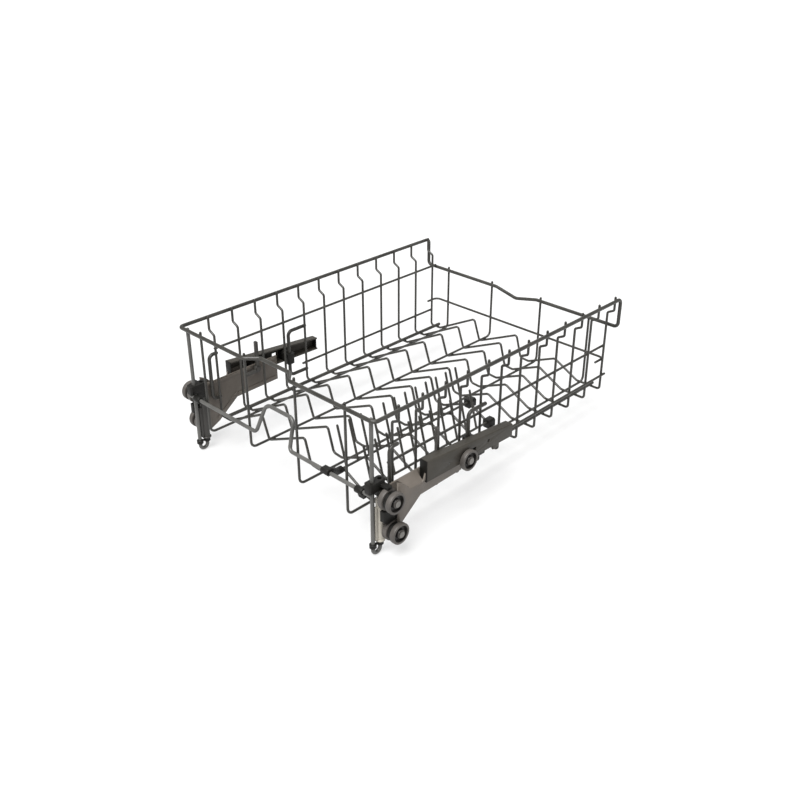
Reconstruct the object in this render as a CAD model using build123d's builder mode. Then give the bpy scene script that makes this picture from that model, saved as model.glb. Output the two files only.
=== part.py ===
from build123d import *
import math
import os

# Upper basket of a slim dishwasher. X across, +Y to the door, Z up from the foot loops.

# Coated wire, millimetres across
heavy_d = 5.0
thin_d = 3.4
tine_d = 3.2
weld_gap = 0.02

# Round sections are many-sided, with a wire's size across its flats; bends are mitred turns
heavy_sides = 12
thin_sides = 8
pin_sides = 10
wheel_sides = 18
heavy_turn = 31
thin_turn = 52

# Rim, between wire centres; its height is over the foot loops
rim_length = 475
rim_width = 357
rim_height = 184
rim_corner_r = 8
front_drop = 42
front_corner_r = 10
notch_half = 38
notch_depth = 8.5
notch_bend_r = 12
rear_inset = 14
inset_x = -4
inset_flat_half = 28
inset_outer_half = 42
inset_bend_r = 6

# Cross wires, counted from the rear; drops are below the rim wire's centre
cross_count = 12
cross_first = 41.7
cross_last = 6.94
stub_height = 4.5
wall_half = 164.2
jog_top = 8.5
jog_bottom = 17
jog_bend_r = 5
floor_drop = 142
wall_bend_r = 9
crest_bend_r = 4
ledge_bend_r = 6
left_ledge_x = -144.9
first_crest = (-73.2, 105)
first_valley = (-61.3, 138.2)
second_crest = (10.9, 105.5)
second_valley = (20.7, 139.7)
second_valley_end = (36.1, 141)
third_crest = (83.6, 120.4)
right_ledge_x = 124.9

# Wires along the basket: place across, and on which side of the cross wires
floor_wire_places = {"floor_wire_1": (-138.7, -1), "floor_wire_2": (-50, 1),
                     "floor_wire_3": (42.5, -1), "floor_wire_4": (128, -1)}
floor_wire_bend_r = 8
ledge_rail_x = 150
left_mid_drop = 38
right_mid_drop = 74.6
low_rail_drop = 117
front_rail_drop = 96
front_rail_bend_r = 8
front_rail_return = 22
rail_overhang = 5

# Rear rail with its arch
rear_rail_drop = 97
rear_rail_half = 172
arch_foot_half = 32
arch_top_half = 26
arch_top_drop = 61
arch_foot_r = 6
arch_top_r = 9
sleeve_d = 9
sleeve_length = 12
sleeve_x = 154

# Guide legs and hanger bars, which the carriages slide on
leg_spacing = 11.5
leg_above_rim = 0.5
hanger_bend_r = 7
hanger_reach = 27.64
hanger_bottom_drop = 128
hanger_wire_index = 4
rear_hanger_reach = 8.7
rear_hanger_top_drop = 49.4
rear_hanger_bottom_drop = 115
arm_past_wire = 6
post_d = 10
post_bottom_drop = 167
stop_thickness = 5.8
stop_margin = 3
edge_cut = 2

# Tine combs
tine_length = 53
tine_lean = 15.3
left_comb_x = third_crest[0]
left_comb_start = 24.5
left_tine_shift = 2.8
left_comb_tines = 12
right_comb_x = 117.8
right_comb_start = 35
right_tine_shift = 12.5
right_comb_tines = 11
comb_end_wire = 6
comb_overhang = 8
clip_width = 12
clip_cover = 3
rail_clip_x = 99
running_gap = 0.08

# Carriages
travel = 25
lift_room = 1
sheet = 2
rail_face_x = 189.5
rail_depth = 11.5
rail_start = 73.5
rail_end = 231
rail_start_top = 77
rail_start_bottom = 106
rail_end_top = 92
rail_end_bottom = 110.2
hole_place = 184
hole_drop = 96.4
hole_d = 4.5
window_place = 156.6
window_drop = 97
window_length = 8
window_height = 5
tab_place = 198.7
tab_length = 10.8
tab_height = 4
bracket_rear = 3
bracket_lap = 95
bracket_top_drop = 84
shelf_front = 69
shelf_rear = 38
shelf_skew = 9
shelf_inner_x = 176
shelf_inner_drop = 91.5
shelf_outer_drop = 102.5
lip_height = 9
web_rear = 27
web_runner_room = 13.1
web_bottom_drop = 128.5
gusset_top = (77, 130)
gusset_bottom = (44, 155)
web_foot_drop = 163
block_width = 11
block_front_cover = 5.5
block_rear_cover = 8.5
block_top_drop = 82
block_height = 21
block_rail_room = 0.5
skirt_room = 0.4
skirt_thickness = 2
skirt_rear = 8
skirt_front = 26
skirt_bottom_drop = 162
runner_length = 12
runner_top_drop = 92
runner_height = 16
lug_height = 3.4

# Wheels on their axles
wheel_d = 27
wheel_hub_d = 11
wheel_tread = 3.2
wheel_recess = 2.2
axle_d = 4
axle_head_d = 8
axle_head = 1.2
wheel_play = 0.3
outer_wheel_face_x = 197
outer_wheel_width = 6.6
inner_wheel_width = 7
upper_place = 16.5
upper_drop = 103.8
lower_place = 22.9
lower_drop = 148.5
middle_place = 142.4
middle_drop = 103.7
lobe_r = 6.5

# Release levers
lever_place = 111.7
lever_pivot_drop = 97
lever_top_drop = 55
lever_width = 4.6
lever_thickness = 4
lever_face_x = 171.3
lever_arm = 20
lever_boss_d = 10

os.makedirs("parts", exist_ok=True)

# Overall length runs from the rail sleeves at the rear to the upright wire ends at the front
rear_reach = sleeve_d / 2
front_reach = heavy_d / 2 + weld_gap + thin_d
rear_y = rear_reach - (rim_length + rear_reach + front_reach) / 2
front_y = rear_y + rim_length
thin_beside_heavy = (heavy_d + thin_d) / 2 + weld_gap
thin_beside_thin = thin_d + weld_gap
heavy_beside_heavy = heavy_d + weld_gap
seat_r = heavy_d / 2 + weld_gap
leg_x = wall_half + thin_beside_heavy
leg_y = rear_y + heavy_beside_heavy
second_leg_y = leg_y + leg_spacing
cross_pitch = (rim_length - cross_first - cross_last) / (cross_count - 1)
tine_pitch = cross_pitch / 2


def height(drop):
    return rim_height - drop


def cross_y(index):
    return rear_y + cross_first + index * cross_pitch


hanger_y = cross_y(hanger_wire_index) - hanger_reach
hanger_place = hanger_y - rear_y
rear_hanger_y = cross_y(0) - rear_hanger_reach
hanger_top_drop = runner_top_drop - travel - lift_room - hanger_bend_r


def save(name, label):
    name.part.label = label
    export_step(name.part, f"parts/{label}.step")


def bend_route(points, bends, most_turn):
    """The path's corners, each bend cut into equal mitred turns that touch its radius."""
    route = [Vector(*points[0])]
    for before, corner, after, bend in zip(points, points[1:], points[2:], bends):
        into = (Vector(*corner) - Vector(*before)).normalized()
        out = (Vector(*after) - Vector(*corner)).normalized()
        turn = math.radians(into.get_angle(out))
        count = math.ceil(math.degrees(turn) / most_turn)
        inward = (out - into).normalized()
        centre = Vector(*corner) + inward * (bend / math.cos(turn / 2))
        first_spoke = Vector(*corner) - into * (bend * math.tan(turn / 2)) - centre
        corner_r = bend / math.cos(turn / 2 / count)
        for index in range(count):
            angle = turn * (index + 0.5) / count
            spoke = first_spoke.normalized() * math.cos(angle) + into * math.sin(angle)
            route.append(centre + spoke * corner_r)
    route.append(Vector(*points[-1]))
    return route


def bent_wire(points, bends, across, sides, most_turn):
    """A wire along straight runs with mitred bends."""
    with BuildPart() as wire:
        with BuildLine() as path:
            Polyline(*bend_route(points, bends, most_turn))
        with BuildSketch(Plane(points[0], z_dir=path.line % 0)):
            RegularPolygon(across / 2, sides, major_radius=False, rotation=180 / sides)
        sweep(path=path.line, transition=Transition.RIGHT)
    return wire


def heavy_wire(points, bends):
    return bent_wire(points, bends, heavy_d, heavy_sides, heavy_turn)


def thin_wire(points, bends, across=thin_d):
    return bent_wire(points, bends, across, thin_sides, thin_turn)


def heavy_hole(flat_r):
    """Cuts room for a heavy wire in the sketch being drawn."""
    RegularPolygon(flat_r, heavy_sides, major_radius=False, rotation=180 / heavy_sides,
                   mode=Mode.SUBTRACT)


def pin_hole(flat_r):
    """Cuts room for a pin in the sketch being drawn."""
    RegularPolygon(flat_r, pin_sides, major_radius=False, mode=Mode.SUBTRACT)


# The rim is one closed wire: lowered at the front with a notch, inset at the rear middle
half_width = rim_width / 2
front_z = height(front_drop)
notch_z = height(front_drop + notch_depth)
inset_y = rear_y + rear_inset
side_middle = (-half_width, (rear_y + front_y) / 2, rim_height)
rim_points = [
    side_middle,
    (-half_width, front_y, rim_height),
    (-half_width, front_y, front_z),
    (-notch_half, front_y, front_z),
    (0, front_y, notch_z),
    (notch_half, front_y, front_z),
    (half_width, front_y, front_z),
    (half_width, front_y, rim_height),
    (half_width, rear_y, rim_height),
    (inset_x + inset_outer_half, rear_y, rim_height),
    (inset_x + inset_flat_half, inset_y, rim_height),
    (inset_x - inset_flat_half, inset_y, rim_height),
    (inset_x - inset_outer_half, rear_y, rim_height),
    (-half_width, rear_y, rim_height),
    side_middle,
]
rim_bends = [front_corner_r] * 2 + [notch_bend_r] * 3 + [front_corner_r] * 2
rim_bends += [rim_corner_r] + [inset_bend_r] * 4 + [rim_corner_r]
rim_wire = heavy_wire(rim_points, rim_bends)
save(rim_wire, "rim_wire")

# Rear rail, arched up and forward in the middle to clear the water tube, as the rim is
rail_z = height(rear_rail_drop)
arch_z = height(arch_top_drop)
rail_points = [
    (-rear_rail_half, rear_y, rail_z),
    (-arch_foot_half, rear_y, rail_z),
    (-arch_top_half, inset_y, arch_z),
    (arch_top_half, inset_y, arch_z),
    (arch_foot_half, rear_y, rail_z),
    (rear_rail_half, rear_y, rail_z),
]
rail_bends = [arch_foot_r, arch_top_r, arch_top_r, arch_foot_r]
rear_rail = heavy_wire(rail_points, rail_bends)
save(rear_rail, "rear_rail")

with BuildPart() as rail_sleeves:
    for side in (-1, 1):
        with BuildSketch(Plane((side * sleeve_x, rear_y, rail_z), z_dir=(1, 0, 0))):
            RegularPolygon(sleeve_d / 2, heavy_sides, major_radius=False,
                           rotation=180 / heavy_sides)
            heavy_hole(seat_r)
        extrude(amount=sleeve_length / 2, both=True)
save(rail_sleeves, "rail_sleeves")

# Floor profile across the basket: left wall, three sawtooth crests, right wall
top_x = half_width - thin_beside_heavy
floor_profile = [
    (-top_x, -stub_height),
    (-top_x, jog_top),
    (-wall_half, jog_bottom),
    (-wall_half, floor_drop),
    (left_ledge_x, floor_drop),
    first_crest,
    first_valley,
    second_crest,
    second_valley,
    second_valley_end,
    third_crest,
    (right_ledge_x, floor_drop),
    (wall_half, floor_drop),
    (wall_half, jog_bottom),
    (top_x, jog_top),
    (top_x, -stub_height),
]
floor_bends = [jog_bend_r] * 2 + [wall_bend_r, ledge_bend_r] + [crest_bend_r] * 3
floor_bends += [ledge_bend_r] * 4 + [wall_bend_r] + [jog_bend_r] * 2


def cross_wire(y, across=thin_d):
    """One wire of the floor profile, standing at y."""
    points = [(x, y, height(drop)) for x, drop in floor_profile]
    return thin_wire(points, floor_bends, across)


for index in range(cross_count):
    save(cross_wire(cross_y(index)), f"cross_wire_{index + 1:02d}")


def floor_at(x):
    """Height of the cross wires' centre line at x, and their slope there in radians."""
    for (x0, drop0), (x1, drop1) in zip(floor_profile[3:], floor_profile[4:13]):
        if x0 <= x <= x1:
            slope = (drop1 - drop0) / (x1 - x0)
            return height(drop0 + slope * (x - x0)), math.atan(slope)
    raise ValueError("no floor at this place")


def thin_reach(angle):
    """How far a thin wire's section reaches at an angle from one of its flats."""
    flat = 2 * math.pi / thin_sides
    return thin_d / 2 / math.cos(flat / 2) * math.cos(abs(angle) % flat - flat / 2)


# Floor wires run under or over the cross wires and stand up at both ends
floor_rear_y = rear_y + thin_beside_heavy
floor_front_y = front_y + thin_beside_heavy
for label, (x, side) in floor_wire_places.items():
    middle_z, slope = floor_at(x)
    wire_z = middle_z + side * (thin_d / 2 + weld_gap + thin_reach(slope)) / math.cos(slope)
    points = [
        (x, floor_rear_y, rim_height + stub_height),
        (x, floor_rear_y, wire_z),
        (x, floor_front_y, wire_z),
        (x, floor_front_y, front_z + stub_height),
    ]
    save(thin_wire(points, [floor_wire_bend_r] * 2), label)


# Rails along the side walls
rails_start = cross_y(0) - rail_overhang
rails_end = cross_y(cross_count - 1) + rail_overhang
low_start = cross_y(hanger_wire_index) - rail_overhang
ledge_z = height(floor_drop) + thin_beside_heavy
inner_x = wall_half - thin_beside_thin
outer_x = wall_half + thin_beside_thin
for side, label in ((-1, "left_ledge_rail"), (1, "right_ledge_rail")):
    x = side * ledge_rail_x
    save(heavy_wire([(x, rails_start, ledge_z), (x, rails_end, ledge_z)], []), label)
wall_rails = {"left_mid_rail": (-inner_x, left_mid_drop, rails_start),
              "right_mid_rail": (inner_x, right_mid_drop, rails_start),
              "left_low_rail": (-outer_x, low_rail_drop, low_start),
              "right_low_rail": (outer_x, low_rail_drop, low_start)}
for label, (x, drop, start) in wall_rails.items():
    save(thin_wire([(x, start, height(drop)), (x, rails_end, height(drop))], []), label)

# Front rail, bent back along both walls
front_rail_y = floor_front_y - thin_beside_thin
front_rail_z = height(front_rail_drop)
front_rail_points = [
    (-inner_x, front_rail_y - front_rail_return, front_rail_z),
    (-inner_x, front_rail_y, front_rail_z),
    (inner_x, front_rail_y, front_rail_z),
    (inner_x, front_rail_y - front_rail_return, front_rail_z),
]
save(thin_wire(front_rail_points, [front_rail_bend_r] * 2), "front_rail")

# Guide legs: down from the rear corner, round the foot loop and up into the guide block
foot_z = heavy_d / 2
loop_r = leg_spacing / 2 - weld_gap
second_leg_z = height(block_top_drop + heavy_d)
for side, label in ((-1, "left_guide_leg"), (1, "right_guide_leg")):
    points = [
        (side * leg_x, leg_y, rim_height + leg_above_rim),
        (side * leg_x, leg_y, foot_z),
        (side * leg_x, second_leg_y, foot_z),
        (side * leg_x, second_leg_y, second_leg_z),
    ]
    save(heavy_wire(points, [loop_r, loop_r]), label)

# Hanger bars: C-shaped, welded to the outside of a cross wire, two on each side
hangers = [
    (hanger_y, cross_y(hanger_wire_index) + arm_past_wire, hanger_top_drop, hanger_bottom_drop),
    (rear_hanger_y, cross_y(0) + arm_past_wire, rear_hanger_top_drop, rear_hanger_bottom_drop),
]
for side, label in ((-1, "left_hanger_bar"), (1, "right_hanger_bar")):
    with BuildPart() as hanger_bar:
        for bar_y, arm_end_y, top_drop, bottom_drop in hangers:
            points = [
                (side * leg_x, arm_end_y, height(top_drop)),
                (side * leg_x, bar_y, height(top_drop)),
                (side * leg_x, bar_y, height(bottom_drop)),
                (side * leg_x, arm_end_y, height(bottom_drop)),
            ]
            add(heavy_wire(points, [hanger_bend_r] * 2).part)
    save(hanger_bar, label)

# Pale posts on the second legs hold the carriages up; stops below them tie both legs
block_bottom_drop = block_top_drop + block_height
post_top_drop = block_bottom_drop + wheel_play
with BuildPart() as guide_posts:
    for side in (-1, 1):
        with BuildSketch(Plane.XY.offset(height(post_bottom_drop))):
            with Locations((side * leg_x, second_leg_y)):
                RegularPolygon(post_d / 2, heavy_sides, rotation=180 / heavy_sides)
                heavy_hole(seat_r)
        extrude(amount=post_bottom_drop - post_top_drop)
save(guide_posts, "guide_posts")

with BuildPart() as foot_stops:
    for side in (-1, 1):
        with BuildSketch(Plane.XY.offset(height(post_bottom_drop))) as stop:
            with Locations((side * leg_x, (leg_y + second_leg_y) / 2)):
                Rectangle(heavy_d + 2 * stop_margin, leg_spacing + heavy_d + 2 * stop_margin)
            chamfer(stop.vertices(), stop_margin)
            with Locations((side * leg_x, leg_y), (side * leg_x, second_leg_y)):
                heavy_hole(seat_r)
        extrude(amount=-stop_thickness)
save(foot_stops, "foot_stops")

# Combs: a base wire that turns in its clips, with leaning tines welded along it
base_lift = (thin_d + tine_d) / 2 + running_gap
crest_rise = math.atan2(second_valley_end[1] - third_crest[1], third_crest[0] - second_valley_end[0])
crest_fall = math.atan2(floor_drop - third_crest[1], right_ledge_x - third_crest[0])
crest_reach = thin_d / 2 / math.cos((crest_rise + crest_fall) / 2)
left_comb_z = height(third_crest[1]) + crest_reach + tine_d / 2 + running_gap
right_floor_z, right_slope = floor_at(right_comb_x)
right_comb_z = right_floor_z + base_lift / math.cos(right_slope)
comb_end_y = cross_y(comb_end_wire) + comb_overhang


def tine_comb(x, z, start, tine_shift, tines, label):
    """Base wire along Y with a row of leaning tines."""
    lean = math.radians(tine_lean)
    up = Vector(-math.sin(lean), 0, math.cos(lean))
    root = up * (tine_d / 2 + weld_gap)
    with BuildPart() as comb:
        with BuildSketch(Plane((x, rear_y + start, z), z_dir=(0, 1, 0))):
            Circle(tine_d / 2)
        extrude(amount=comb_end_y - rear_y - start)
        for index in range(tines):
            foot = Vector(x, cross_y(0) + tine_shift + index * tine_pitch, z) + root
            with BuildSketch(Plane(foot, z_dir=up)):
                RegularPolygon(tine_d / 2, thin_sides, rotation=180 / thin_sides)
            extrude(amount=tine_length)
    save(comb, label)


tine_comb(left_comb_x, left_comb_z, left_comb_start, left_tine_shift, left_comb_tines,
          "left_tine_comb")
tine_comb(right_comb_x, right_comb_z, right_comb_start, right_tine_shift, right_comb_tines,
          "right_tine_comb")

# Clips: three snap over a cross wire, one hangs from the rear rail
bore_r = tine_d / 2 + running_gap
clip_seat_d = thin_d + 2 * weld_gap
clip_height = thin_d + tine_d + 2 * clip_cover


def wire_clip(x, z, index):
    """A block round a comb's base and the cross wire under it."""
    y = cross_y(index)
    seat = cross_wire(y, clip_seat_d)
    low = (tine_d + thin_d) / 2
    with BuildPart() as clip:
        with BuildSketch(Plane((x, y, z), x_dir=(1, 0, 0), z_dir=(0, -1, 0))) as face:
            with Locations((0, -low / 2)):
                Rectangle(clip_width, clip_height)
            chamfer(face.vertices(), edge_cut)
            pin_hole(bore_r)
        extrude(amount=clip_width / 2, both=True)
        add(seat.part, mode=Mode.SUBTRACT)
    return clip


save(wire_clip(left_comb_x, left_comb_z, comb_end_wire), "left_comb_clip")
save(wire_clip(right_comb_x, right_comb_z, 0), "right_comb_rear_clip")
save(wire_clip(right_comb_x, right_comb_z, comb_end_wire), "right_comb_front_clip")

clip_wrap = heavy_d + 2 * clip_cover
bearing_y = rear_y + left_comb_start + clip_width / 2
bearing_r = bore_r + clip_cover
with BuildPart() as rail_clip:
    with BuildSketch(Plane((rail_clip_x, rear_y, rail_z), z_dir=(1, 0, 0))) as wrap:
        with Locations((clip_cover / 2, 0)):
            Rectangle(heavy_d + clip_cover, clip_wrap)
        chamfer(wrap.vertices(), edge_cut)
    extrude(amount=clip_width / 2, both=True)
    with BuildLine() as reach:
        Line((rail_clip_x, rear_y + heavy_d, rail_z), (left_comb_x, bearing_y, left_comb_z))
    with BuildSketch(Plane(reach.line @ 0, z_dir=reach.line % 0)):
        Rectangle(2 * clip_cover, 2 * clip_cover)
    sweep(path=reach.line)
    with BuildSketch(Plane((left_comb_x, bearing_y, left_comb_z), z_dir=(0, 1, 0))):
        RegularPolygon(bearing_r, pin_sides)
    extrude(amount=clip_width / 2, both=True)
    with BuildSketch(Plane((left_comb_x, bearing_y, left_comb_z), z_dir=(0, 1, 0))):
        RegularPolygon(bore_r, pin_sides, major_radius=False)
    extrude(amount=2 * clip_width, both=True, mode=Mode.SUBTRACT)
    with BuildSketch(Plane((rail_clip_x, rear_y, rail_z), z_dir=(1, 0, 0))):
        RegularPolygon(seat_r, heavy_sides, major_radius=False, rotation=180 / heavy_sides)
    extrude(amount=clip_width, both=True, mode=Mode.SUBTRACT)
save(rail_clip, "rail_clip")


# Carriage pieces are made for the right side and mirrored
def save_pair(name, label):
    """Writes the right-hand piece and its mirror image on the left."""
    save(name, f"right_{label}")
    with BuildPart() as left_hand:
        mirror(name.part, about=Plane.YZ)
    save(left_hand, f"left_{label}")


def side_plane(x):
    """Looking along X: across the plane is Y from the rear rim, up is Z."""
    return Plane((x, rear_y, rim_height), x_dir=(0, 1, 0), z_dir=(1, 0, 0))


rail_inner_x = rail_face_x - sheet
rail_edge_x = rail_face_x - rail_depth
top_slope = (rail_end_top - rail_start_top) / (rail_end - rail_start)
bottom_slope = (rail_end_bottom - rail_start_bottom) / (rail_end - rail_start)


def rail_top(place):
    return rail_start_top + top_slope * (place - rail_start)


def rail_bottom(place):
    return rail_start_bottom + bottom_slope * (place - rail_start)


axle_seat_r = axle_d / 2 + weld_gap
with BuildPart() as rail_channel:
    with BuildSketch(side_plane(rail_edge_x)):
        Polygon((rail_start, -rail_top(rail_start)), (rail_end, -rail_top(rail_end)),
                (rail_end, -rail_bottom(rail_end)), (rail_start, -rail_bottom(rail_start)),
                align=None)
    extrude(amount=rail_depth)
    lengthwise = rail_channel.edges().group_by(Axis.X)[-1].filter_by(GeomType.LINE)
    chamfer(lengthwise.sort_by(Edge.length)[-2:], sheet / 2)
    with BuildSketch(side_plane(rail_edge_x)):
        before = rail_start - sheet
        after = rail_end + sheet
        Polygon((before, -rail_top(before) - sheet), (after, -rail_top(after) - sheet),
                (after, -rail_bottom(after) + sheet), (before, -rail_bottom(before) + sheet),
                align=None)
    extrude(amount=rail_depth - sheet, mode=Mode.SUBTRACT)
    with BuildSketch(side_plane(rail_inner_x)):
        with Locations((middle_place, -middle_drop)):
            RegularPolygon(lobe_r, pin_sides)
        with Locations((tab_place, -rail_bottom(tab_place) - tab_height / 2 + sheet)):
            Rectangle(tab_length, tab_height + 2 * sheet)
    extrude(amount=sheet)
    with BuildSketch(side_plane(rail_inner_x)):
        with Locations((middle_place, -middle_drop), (lever_place, -lever_pivot_drop)):
            RegularPolygon(axle_seat_r, pin_sides)
        with Locations((hole_place, -hole_drop)):
            Circle(hole_d / 2)
        with Locations((window_place, -window_drop)):
            Rectangle(window_length, window_height)
    extrude(amount=sheet, mode=Mode.SUBTRACT)
save_pair(rail_channel, "rail_channel")

# Rear bracket: a sheet that laps inside the channel's end and carries both rear axles, with a
# shelf folded inward and up between them, and an inner web folded down from the shelf's edge
bracket_x = rail_inner_x - weld_gap - sheet
lap_bottom_drop = rail_start_bottom - 2 * sheet
lip_drop = shelf_outer_drop + lip_height
axle_edge = axle_head_d + wheel_play
web_front = hanger_place - runner_length / 2 - web_runner_room
with BuildPart() as rear_bracket:
    with BuildSketch(side_plane(bracket_x)) as outline:
        Polygon((bracket_rear, -upper_drop), (upper_place - axle_edge, -bracket_top_drop),
                (upper_place + axle_edge, -bracket_top_drop), (shelf_rear, -shelf_inner_drop),
                (shelf_rear + shelf_skew, -shelf_outer_drop), (shelf_front, -shelf_outer_drop),
                (rail_start, -shelf_inner_drop), (bracket_lap, -shelf_inner_drop),
                (bracket_lap, -lap_bottom_drop), (rail_start - sheet, -lap_bottom_drop),
                (rail_start - sheet, -lip_drop), (shelf_front - axle_edge, -lip_drop),
                (lower_place + axle_edge, -lower_drop + axle_edge),
                (lower_place + axle_edge, -lower_drop - axle_edge),
                (lower_place - axle_edge, -lower_drop - axle_edge),
                (bracket_rear, -lower_drop + axle_edge), align=None)
        chamfer(outline.vertices(), edge_cut)
        with Locations((upper_place, -upper_drop), (lower_place, -lower_drop)):
            RegularPolygon(axle_seat_r, pin_sides, mode=Mode.SUBTRACT)
    extrude(amount=sheet)
    shelf_plane = Plane((0, rear_y + shelf_rear, rim_height), x_dir=(-1, 0, 0), z_dir=(0, 1, 0))
    with BuildSketch(shelf_plane):
        Polygon((-bracket_x - sheet, -shelf_outer_drop), (-shelf_inner_x, -shelf_inner_drop),
                (-shelf_inner_x, -shelf_inner_drop - sheet), (-bracket_x, -shelf_outer_drop - sheet),
                align=None)
    extrude(amount=shelf_front - shelf_rear)
    with BuildSketch(Plane.XY.offset(height(lip_drop))):
        Polygon((shelf_inner_x, rear_y + shelf_rear), (bracket_x, rear_y + shelf_rear),
                (bracket_x, rear_y + shelf_rear + shelf_skew), align=None)
    extrude(amount=lip_drop - bracket_top_drop, mode=Mode.SUBTRACT)
    with BuildSketch(side_plane(shelf_inner_x - sheet)):
        Polygon((web_rear, -shelf_inner_drop), (web_front, -shelf_inner_drop),
                (web_front, -web_bottom_drop), (gusset_top[0], -gusset_top[1]),
                (gusset_bottom[0], -gusset_bottom[1]), (web_rear, -web_foot_drop), align=None)
        with Locations((lever_place, -lever_pivot_drop)):
            RegularPolygon(axle_head_d / 2 + weld_gap, pin_sides, mode=Mode.SUBTRACT)
    extrude(amount=sheet)
save_pair(rear_bracket, "rear_bracket")

# Guide block: clasps both legs over the rear rail, and the second leg alone below that; a lug
# reaches the bracket over the inner wheel, and a skirt hangs down between post and wheels
block_r = heavy_d / 2 + running_gap
block_outer_x = leg_x + block_width / 2
block_rear_y = leg_y - block_rear_cover
block_front_y = second_leg_y + block_front_cover
clasp_drop = rear_rail_drop - heavy_d / 2 - block_rail_room
lug_drop = upper_drop - wheel_d / 2 - 2 * wheel_play
with BuildPart() as guide_block:
    with BuildSketch(Plane.XY.offset(height(clasp_drop))) as clasp:
        with Locations((leg_x, (block_rear_y + block_front_y) / 2)):
            Rectangle(block_width, block_front_y - block_rear_y)
        chamfer(clasp.vertices(), edge_cut)
        with Locations((leg_x, leg_y), (leg_x, second_leg_y)):
            heavy_hole(block_r)
    extrude(amount=clasp_drop - block_top_drop)
    with BuildSketch(Plane.XY.offset(height(block_bottom_drop))) as collar:
        with Locations((leg_x, second_leg_y)):
            Rectangle(block_width, 2 * block_front_cover)
        chamfer(collar.vertices(), edge_cut)
        with Locations((leg_x, second_leg_y)):
            heavy_hole(block_r)
    extrude(amount=block_bottom_drop - clasp_drop)
    with BuildSketch(Plane.XY.offset(height(lug_drop))):
        with Locations(((block_outer_x - sheet + bracket_x) / 2, second_leg_y)):
            Rectangle(bracket_x - block_outer_x + sheet, 2 * block_front_cover - 2 * edge_cut)
    extrude(amount=lug_height)
    with BuildSketch(side_plane(leg_x + post_d / 2 + skirt_room)) as skirt:
        with Locations(((skirt_rear + skirt_front) / 2, -(clasp_drop + skirt_bottom_drop) / 2)):
            Rectangle(skirt_front - skirt_rear, skirt_bottom_drop - clasp_drop)
        chamfer(skirt.vertices(), edge_cut)
    extrude(amount=skirt_thickness)
save_pair(guide_block, "guide_block")

# Runner on the hanger bar, with a lug between the channel's flanges
runner_bottom_drop = runner_top_drop + runner_height
runner_lug_top = rail_top(hanger_place) + 2 * sheet
runner_lug_bottom = rail_bottom(hanger_place) - 2 * sheet
with BuildPart() as front_runner:
    with BuildSketch(Plane.XY.offset(height(runner_bottom_drop))) as runner:
        with Locations((leg_x, hanger_y)):
            Rectangle(block_width, runner_length)
        chamfer(runner.vertices(), edge_cut)
        with Locations((leg_x, hanger_y)):
            heavy_hole(block_r)
    extrude(amount=runner_height)
    with BuildSketch(Plane.XY.offset(height(runner_lug_bottom))):
        with Locations(((block_outer_x - sheet + rail_inner_x) / 2, hanger_y)):
            Rectangle(rail_inner_x - block_outer_x + sheet, runner_length - sheet)
    extrude(amount=runner_lug_bottom - runner_lug_top)
save_pair(front_runner, "front_runner")

# Axles: headed pins with collars that keep the wheels off the sheets
inner_wheel_face_x = bracket_x - wheel_play - wheel_play
outer_wheel_back_x = outer_wheel_face_x - outer_wheel_width
inner_wheel_back_x = inner_wheel_face_x - inner_wheel_width
head_x = outer_wheel_face_x + wheel_play
far_head_x = inner_wheel_back_x - wheel_play
outer_head = (head_x, head_x + axle_head, axle_head_d)
collar_end = outer_wheel_back_x - wheel_play
rear_spans = [
    (far_head_x - axle_head, far_head_x, axle_head_d),
    (far_head_x, head_x, axle_d),
    (bracket_x + sheet + weld_gap, collar_end, axle_head_d),
    outer_head,
]
middle_spans = [
    (rail_inner_x, head_x, axle_d),
    (rail_face_x + weld_gap, collar_end, axle_head_d),
    outer_head,
]
lever_back_x = lever_face_x - lever_thickness
lever_spans = [
    (lever_back_x - wheel_play - axle_head, lever_back_x - wheel_play, axle_head_d),
    (lever_back_x - wheel_play, rail_face_x, axle_d),
    (lever_face_x + wheel_play, rail_inner_x - weld_gap, axle_head_d),
]
pins = [
    (upper_place, upper_drop, rear_spans),
    (lower_place, lower_drop, rear_spans),
    (middle_place, middle_drop, middle_spans),
    (lever_place, lever_pivot_drop, lever_spans),
]
with BuildPart() as axles:
    for place, drop, spans in pins:
        for start, end, diameter in spans:
            with BuildSketch(side_plane(start)):
                with Locations((place, -drop)):
                    RegularPolygon(diameter / 2, pin_sides)
            extrude(amount=end - start)
save_pair(axles, "axles")

# Wheels: a tread ring, a recessed web and a hub
wheel_bore_r = axle_d / 2 + running_gap
wheel_r = wheel_d / 2
hub_r = wheel_hub_d / 2
tread_r = wheel_r - wheel_tread


def wheel(place, drop, back_x, width, label):
    """A wheel on its axle, recessed on its outer face."""
    with BuildPart() as roller:
        with BuildSketch(side_plane(back_x)):
            with Locations((place, -drop)):
                RegularPolygon(wheel_r, wheel_sides)
                pin_hole(wheel_bore_r)
        extrude(amount=width)
        with BuildSketch(side_plane(back_x + width)):
            with Locations((place, -drop)):
                RegularPolygon(tread_r, wheel_sides)
                RegularPolygon(hub_r, pin_sides, mode=Mode.SUBTRACT)
        extrude(amount=-wheel_recess, mode=Mode.SUBTRACT)
    save_pair(roller, label)


outer = (outer_wheel_back_x, outer_wheel_width)
inner = (inner_wheel_back_x, inner_wheel_width)
wheel(upper_place, upper_drop, *outer, "upper_outer_wheel")
wheel(upper_place, upper_drop, *inner, "upper_inner_wheel")
wheel(lower_place, lower_drop, *outer, "lower_outer_wheel")
wheel(lower_place, lower_drop, *inner, "lower_inner_wheel")
wheel(middle_place, middle_drop, *outer, "middle_wheel")

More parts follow.
